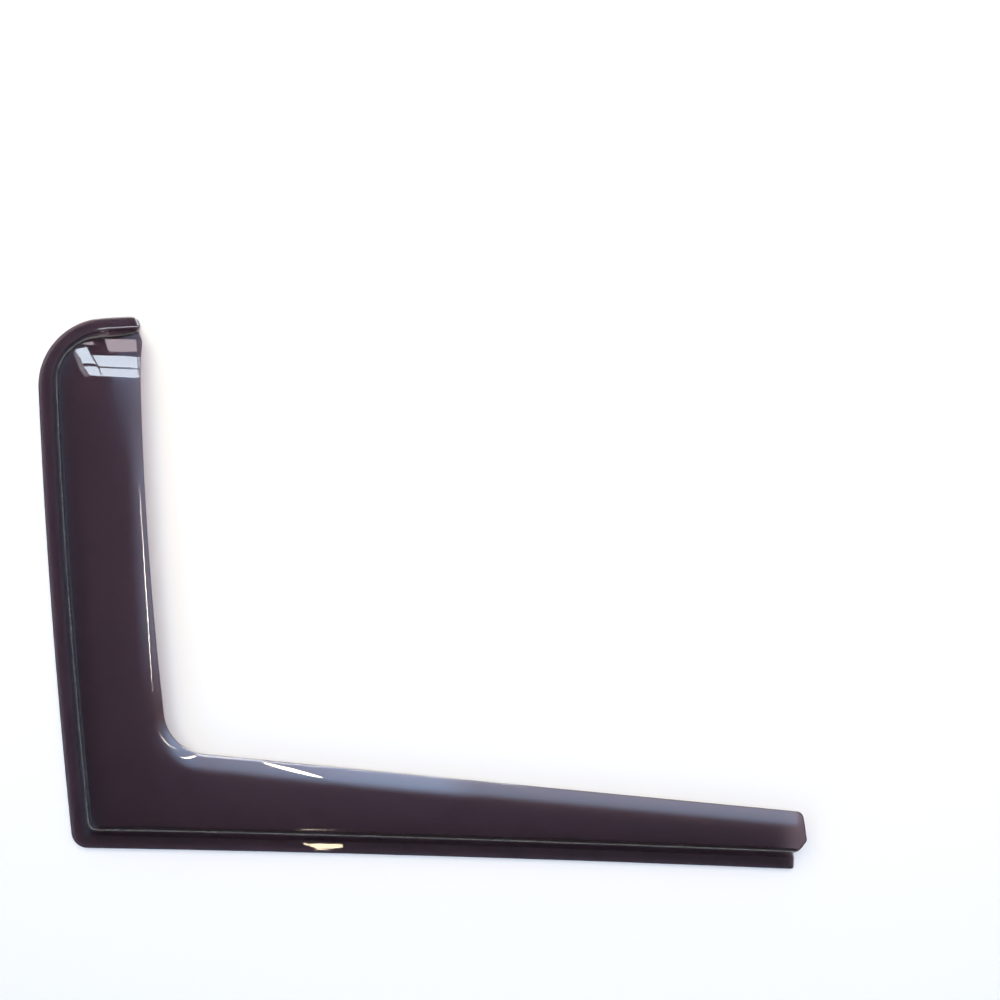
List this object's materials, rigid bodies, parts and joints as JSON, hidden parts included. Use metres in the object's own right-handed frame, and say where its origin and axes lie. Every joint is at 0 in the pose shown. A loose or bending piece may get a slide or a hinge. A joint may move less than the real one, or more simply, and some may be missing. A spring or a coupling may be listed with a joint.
{
  "type": "window rain deflector",
  "caption": "L-shaped smoked clear window deflector for a vehicle door, formed from one sheet with a flat flange, a drafted wall and a crowned body that rolls down to its free edge.",
  "frame": {"origin": "on the flange's back face, where the centre lines of the adhesive tape meet at the outer corner, 6 mm inside both edges", "axes": "+X runs along the long arm, +Y up the leg, +Z out of the convex side, away from the door frame"},
  "size_m": [0.772, 0.5312, 0.031],
  "materials": {
    "smoked_acrylic": "glossy, see-through smoke tint"
  },
  "bodies": {
    "root": {"deflector_shell": "smoked_acrylic"}
  },
  "joints": []
}
